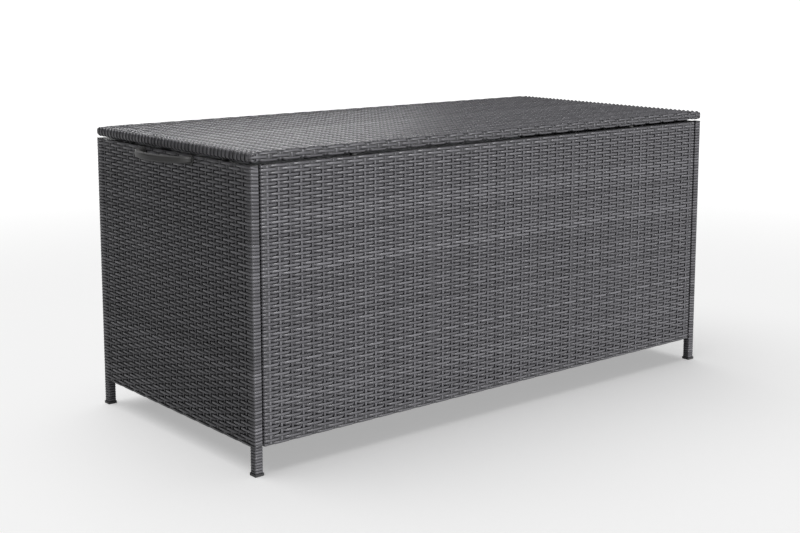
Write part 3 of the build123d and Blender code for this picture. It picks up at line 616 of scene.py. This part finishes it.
def sides():
    """The side panels, whose wefts go on round the posts at both ends."""
    for name, facing in (("left", -1), ("right", 1)):
        low, high = span(f"{name}_weave")
        posts_low, posts_high = span(f"{name}_post_wraps")
        front, rear = posts_low[1], posts_high[1]
        middle = (front + rear) / 2
        half = (rear - front) / 2 - SURFACE_DEPTH
        face = low[0] if facing < 0 else high[0]
        post = posts_high[0] - posts_low[0] - 2 * SURFACE_DEPTH
        corners = [
            (-half + RETURN, -post), (-half, -post), (-half, 0),
            (half, 0), (half, -post), (half - RETURN, -post),
        ]
        wefts = Profile(corners, (POST_INNER_CORNER, POST_CORNER, POST_CORNER, POST_INNER_CORNER))
        warps = upright_warps(low[2], high[2])
        origin = (face - facing * SURFACE_DEPTH, middle, 0)
        surface = Surface(origin, (0, facing, 0), (0, 0, 1), (facing, 0, 0), wefts, warps)
        post_run = (wefts.length - (high[1] - low[1])) / 2
        flat = (post_run, wefts.length - post_run)
        count = round((high[1] - low[1]) / WARP_PITCH)
        weave(f"{name}_panel", "box", surface, [f"{name}_weave"], flat, panel_rows(low[2], high[2]), count)
        legs(name, low[2])


def leg_ring(half):
    """One turn round a leg of this half width at the strand's middle: its points, and the way out at each."""
    ring, normals = [], []
    for quarter in range(4):
        diagonal = quarter * math.pi / 2 + math.pi / 4
        centre = np.array([math.cos(diagonal), math.sin(diagonal), 0.0]) * math.sqrt(2) * (half - LEG_CORNER)
        for angle in np.linspace(0, math.pi / 2, LEG_CORNER_POINTS) + quarter * math.pi / 2:
            out = np.array([math.cos(angle), math.sin(angle), 0.0])
            ring.append(centre + out * LEG_CORNER)
            normals.append(out)
    return np.array(ring), np.array(normals)


def legs(name, panel_bottom):
    """Single turns of strand round each leg, closer together than the rows above."""
    low, high = span(f"{name}_post_wraps")
    side = high[0] - low[0]
    turns = row_places(low[2], panel_bottom + LEG_OVERLAP, LEG_PITCH)
    ring, normals = leg_ring(side / 2 - STRAND_THICKNESS / 2)
    x = (low[0] + high[0]) / 2
    middles, outs = [], []
    for y in (low[1] + side / 2, high[1] - side / 2):
        for z in turns:
            turn = ring + np.array([x, y, z])
            turn[:, 2] += rng.normal(0, LEG_WOBBLE) + ring[:, 0] * LEG_SLOPE
            middles.append(turn)
            outs.append(normals)
    middle, out = np.array(middles), np.array(outs)
    up = np.zeros_like(middle)
    up[..., 2] = 1.0
    step = np.linalg.norm(np.diff(ring, axis=0, append=ring[:1]), axis=1)
    along = np.repeat(np.concatenate([[0], np.cumsum(step)[:-1]])[None, :], len(middle), axis=0)
    piece = strand_mesh(
        f"{name}_leg_turns", middle, up, out, LEG_PITCH * LEG_STRAND_SHARE, STRAND_THICKNESS, along,
        tints(len(middle)), closed=True,
    )
    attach(piece, "box")
    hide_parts(f"{name}_post_wraps")


def wrapped(half, thickness):
    """A line over the lid's top, round both its edges and a little way back under it."""
    corners = [
        (-half + RETURN, -thickness), (-half, -thickness), (-half, 0),
        (half, 0), (half, -thickness), (half - RETURN, -thickness),
    ]
    return Profile(corners, (LID_RADIUS,) * 4)


def lid():
    """The lid's top, with its edges and the strip under them."""
    low, high = span("lid_weave")
    thickness = high[2] - low[2] - SURFACE_DEPTH - RIM_DEPTH
    half_u = high[0] - RIM_DEPTH
    half_v = (high[1] - low[1]) / 2 - RIM_DEPTH
    wefts = wrapped(half_u, thickness)
    warps = wrapped(half_v, thickness)
    edge_corners = [(-half_u, -RETURN), (-half_u, 0), (half_u, 0), (half_u, -RETURN)]
    edge_wefts = Profile(edge_corners, (LID_RADIUS, LID_RADIUS))
    origin = (0, (low[1] + high[1]) / 2, high[2] - SURFACE_DEPTH)
    surface = Surface(origin, (1, 0, 0), (0, 1, 0), (0, 0, 1), wefts, warps)
    first = RETURN - LID_ROW_MARGIN
    rows = row_places(first, warps.length - first, ROW_PITCH)
    # A row on the front or rear edge turns in at the lid's corners, where a row on top goes down over its end
    turn = RETURN + thickness - corner_loss(2 * LID_RADIUS)
    edge_rows = [i for i, t in enumerate(rows) if t < turn or t > warps.length - turn]
    start = (wefts.length - 2 * (half_u - LID_RADIUS)) / 2 - LID_FLAT_EXTRA
    flat = (start, wefts.length - start)
    count = round((flat[1] - flat[0]) / WARP_PITCH)
    weave(
        "lid_panel", "lid", surface, ["lid_weave"], flat, rows, count,
        plain_wefts=edge_wefts, plain_rows=edge_rows, end_lift=LID_END_LIFT,
    )


def floor_panel():
    """The flat panel under the liner, whose strands end at its edges."""
    low, high = span("floor_weave")
    half = (high - low) / 2
    wefts = Profile([(-half[0], 0), (half[0], 0)], ())
    warps = Profile([(-half[1], 0), (half[1], 0)], ())
    centre = (high + low) / 2
    origin = (centre[0], centre[1], high[2] - SURFACE_DEPTH)
    surface = Surface(origin, (1, 0, 0), (0, 1, 0), (0, 0, 1), wefts, warps)
    rows = row_places(0.0, warps.length, ROW_PITCH)
    weave("floor_panel", "box", surface, ["floor_weave"], (0.0, wefts.length), rows, FLOOR_WARPS)


# Liner ------------------------------------------------------------------------------------------------------


def smooth_noise(u, v, waves, seed):
    """A sum of a few waves over u and v, mostly between -1 and 1. Their directions, lengths and starts come
    from the seed."""
    local = np.random.default_rng(seed)
    total = np.zeros_like(u)
    for _ in range(waves):
        a, b = local.uniform(2, 9, 2) * local.choice([-1, 1], 2)
        total += np.cos(a * u + b * v + local.uniform(0, 6.28)) / waves * 1.6
    return total


def cloth_piece(name, points, faces, thickness, material):
    """A sheet of cloth through these points, with its thickness half on each side."""
    mesh = bpy.data.meshes.new(name)
    mesh.from_pydata(points, [], faces)
    mesh.polygons.foreach_set("use_smooth", np.ones(len(faces), dtype=bool))
    obj = add_object(name, mesh)
    solid = obj.modifiers.new("thickness", "SOLIDIFY")
    solid.thickness = thickness
    solid.offset = 0
    bpy.context.view_layer.objects.active = obj
    obj.select_set(True)
    bpy.ops.object.modifier_apply(modifier=solid.name)
    obj.select_set(False)
    obj.data.materials.append(material)
    return obj


def liner_ring(low, high):
    """Points evenly spaced round the walls as seen from above, with the distance round to each."""
    x0, x1 = low[0] + LINER_CORNER, high[0] - LINER_CORNER
    y0, y1 = low[1] + LINER_CORNER, high[1] - LINER_CORNER
    outline = []
    for x, y, turn in ((x1, y0, -90), (x1, y1, 0), (x0, y1, 90), (x0, y0, 180)):
        for angle in np.radians(turn + np.linspace(0, 90, LINER_CORNER_POINTS)):
            outline.append((x + LINER_CORNER * math.cos(angle), y + LINER_CORNER * math.sin(angle)))
    outline = np.array(outline + outline[:1])
    reach = np.concatenate([[0], np.cumsum(np.linalg.norm(np.diff(outline, axis=0), axis=1))])
    s = np.linspace(0, reach[-1], LINER_POINTS, endpoint=False)
    return np.stack([np.interp(s, reach, outline[:, k]) for k in (0, 1)], -1), s


def liner_grid(low, high):
    """Rings of points over the bag: up its walls from the bottom, then over the bottom from the edge inwards.
    Both are creased a little."""
    ring, s = liner_ring(low, high)
    size = high - low
    centre = (low[:2] + high[:2]) / 2
    local = ring - centre
    rings = []
    for level in range(LINER_LEVELS):
        share = level / (LINER_LEVELS - 1)
        z = low[2] + size[2] * share
        # None at the bottom and the top, and most half way up
        slack = math.sin(math.pi * min(1.0, share * 1.02)) ** 0.7
        crease = smooth_noise(s * 2.2, np.full_like(s, z * 9), waves=6, seed=3) * 0.5 + 0.5
        in_fold = max(0.0, 1 - (z - low[2]) / LINER_FOLD)
        bend = LINER_FOLD * (1 - math.sqrt(max(0.0, 1 - in_fold * in_fold)))
        inward = slack * crease * LINER_SLACK + bend
        shrink = 1 - inward[:, None] / (size[:2] / 2)[None, :]
        rings.append(np.concatenate([centre + local * shrink, np.full((LINER_POINTS, 1), z)], 1))
    bottom = rings[0][:, :2] - centre
    for step in range(1, LINER_RINGS):
        local = bottom * (1 - step / LINER_RINGS)
        ripple = np.abs(smooth_noise(local[:, 0] * 5, local[:, 1] * 6, waves=6, seed=5))
        z = low[2] + ripple * LINER_RIPPLE * min(1.0, step / 3)
        rings.append(np.concatenate([centre + local, z[:, None]], 1))
    return np.array(rings)


def liner_faces(ring_count):
    """Faces between the rings, and round one last point in the middle of the bottom."""
    walls = [(level, level + 1) for level in range(LINER_LEVELS - 1)]
    bottom = [(LINER_LEVELS, 0)] + [(ring + 1, ring) for ring in range(LINER_LEVELS, ring_count - 1)]
    hub = ring_count * LINER_POINTS

    def point(ring, place):
        return ring * LINER_POINTS + place % LINER_POINTS

    faces = []
    for a, b in walls + bottom:
        for k in range(LINER_POINTS):
            faces.append((point(a, k), point(a, k + 1), point(b, k + 1), point(b, k)))
    for k in range(LINER_POINTS):
        faces.append((hub, point(ring_count - 1, k), point(ring_count - 1, k + 1)))
    return faces


def liner_seams(walls, centre):
    """Tape sewn over the seams of the bag: one down each corner, and one round the edge of its bottom. walls
    is the bag's walls from the bottom up, rings by points. The corner tapes end a ring short of the top and
    of the bottom."""
    away = walls[:, :, :2] - centre
    inward = np.zeros_like(walls)
    inward[..., :2] = -away / np.linalg.norm(away, axis=2, keepdims=True)
    inner = slice(1, LINER_LEVELS - 1)
    strips = []
    for side in ((1, -1), (1, 1), (-1, 1), (-1, -1)):
        corner = int(np.argmax(away[1] @ np.array(side, float)))
        before, here, after = (walls[inner, (corner + k) % LINER_POINTS] for k in (-1, 0, 1))
        lift = inward[inner, corner] * TAPE_LIFT
        strips.append(np.stack([(before + here) / 2 + lift, here + lift, (here + after) / 2 + lift], 1))
    # Three rings across the bend between walls and bottom, lifted in and up
    band = np.stack([walls[0] * (1 - share) + walls[1] * share for share in (0.15, 0.5, 0.85)], 1)
    band_lift = (inward[0] * 0.8 + np.array([0, 0, 0.6])) * TAPE_LIFT
    bottom = band + band_lift[:, None, :]
    strips.append(np.concatenate([bottom, bottom[:1]]))
    points, faces = [], []
    for strip in strips:
        first, wide = len(points), strip.shape[1]
        points.extend(tuple(float(v) for v in point) for point in strip.reshape(-1, 3))
        for row in range(len(strip) - 1):
            for column in range(wide - 1):
                a = first + row * wide + column
                faces.append((a, a + 1, a + wide + 1, a + wide))
    seams = cloth_piece("liner_seams", points, faces, TAPE_THICKNESS, BINDING)
    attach(seams, "box")
    return seams


def liner():
    """An open bag: four walls and a bottom, creased a little, hung from its taped top edge."""
    low, high = span("inner_liner")
    low, high = low + LINER_INSET, high - LINER_INSET
    low[2] -= LINER_DROP
    centre = (low[:2] + high[:2]) / 2
    grid = liner_grid(low, high)
    points = [tuple(p) for p in grid.reshape(-1, 3)]
    points.append((float(centre[0]), float(centre[1]), float(low[2])))
    bag = cloth_piece("liner_bag", points, liner_faces(len(grid)), LINER_THICKNESS, LINER_FABRIC)
    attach(bag, "box")
    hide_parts("inner_liner")
    seams = liner_seams(grid[:LINER_LEVELS], centre)


# Room -------------------------------------------------------------------------------------------------------


def room():
    """A pale floor that glows more with distance until it is white, and a white background behind it."""
    r = FLOOR_REACH
    mesh = bpy.data.meshes.new("floor_plane")
    mesh.from_pydata([(-r, -r, 0), (r, -r, 0), (r, r, 0), (-r, r, 0)], [], [(0, 1, 2, 3)])
    obj = add_object("floor_plane", mesh)
    shader = Shader("floor_pale", (0.9, 0.9, 0.9), 0.9, specular_ior_level=0.1)
    shader.set("Emission Color", (1.0, 1.0, 1.0, 1.0))
    distance = shader.node("ShaderNodeVectorMath", operation="LENGTH")
    shader.link(shader.object_coords(), distance.inputs[0])
    glow = shader.smooth_range(distance.outputs["Value"], FLOOR_FADE, FLOOR_GLOW)
    shader.link(glow, shader.bsdf.inputs["Emission Strength"])
    obj.data.materials.append(shader.material)
    world = bpy.data.worlds.new("studio")
    bpy.context.scene.world = world
    world.use_nodes = True
    tree = world.node_tree
    background = tree.nodes["Background"]
    background.inputs["Color"].default_value = (1.0, 1.0, 1.0, 1.0)
    path = tree.nodes.new("ShaderNodeLightPath")
    strength = tree.nodes.new("ShaderNodeMapRange")
    strength.inputs["To Min"].default_value = WORLD_LIGHT
    strength.inputs["To Max"].default_value = WORLD_SEEN
    tree.links.new(path.outputs["Is Camera Ray"], strength.inputs["Value"])
    tree.links.new(strength.outputs["Result"], background.inputs["Strength"])


def area_light(name, place, aim, size, power):
    data = bpy.data.lights.new(name, "AREA")
    data.shape = "RECTANGLE"
    data.size, data.size_y = size
    data.energy = power
    obj = add_object(name, data)
    obj.location = place
    obj.rotation_euler = (Vector(aim) - Vector(place)).to_track_quat("-Z", "Y").to_euler()
    return obj


def sun(name, towards, strength, spread):
    """A far light; towards points from the object to it, and spread is its width in degrees."""
    data = bpy.data.lights.new(name, "SUN")
    data.energy = strength
    data.angle = math.radians(spread)
    obj = add_object(name, data)
    obj.rotation_euler = Vector(towards).to_track_quat("Z", "Y").to_euler()
    return obj


def lights():
    """A soft light from above, one from the front, and a low one behind for the lid's sheen. The last two
    leave out the floor, so that the box's only shadow is the soft one."""
    sun("top", towards=(-0.1, 0.3, 0.95), strength=1.6, spread=75)
    front = sun("front", towards=(0.1, -0.88, 0.45), strength=6.2, spread=24)
    sheen = area_light("sheen", place=(1.25, 4.2, 1.4), aim=(-0.2, 0.0, 0.58), size=(3.8, 0.9), power=76.0)
    sheen.visible_camera = False
    skip_floor = bpy.data.collections.new("lights_skip")
    skip_floor.objects.link(bpy.data.objects["floor_plane"])
    skip_floor.collection_objects[0].light_linking.link_state = "EXCLUDE"
    for light in (front, sheen):
        light.light_linking.receiver_collection = skip_floor
    bpy.context.scene.view_settings.view_transform = "Standard"


def camera():
    data = bpy.data.cameras.new("camera")
    data.sensor_width = SENSOR_WIDTH
    data.lens = FOCAL_PX / IMAGE_WIDTH * SENSOR_WIDTH
    data.shift_y = CAMERA_SHIFT
    obj = add_object("camera", data)
    low, _ = span("left_post_wraps")
    obj.location = Vector((low[0], low[1], 0)) + CAMERA_FROM_CORNER
    obj.rotation_euler = (math.pi / 2 - CAMERA_PITCH, 0, -CAMERA_YAW)
    bpy.context.scene.camera = obj


camera()
room()
lights()
dress_cad()
front_and_back()
sides()
lid()
floor_panel()
liner()
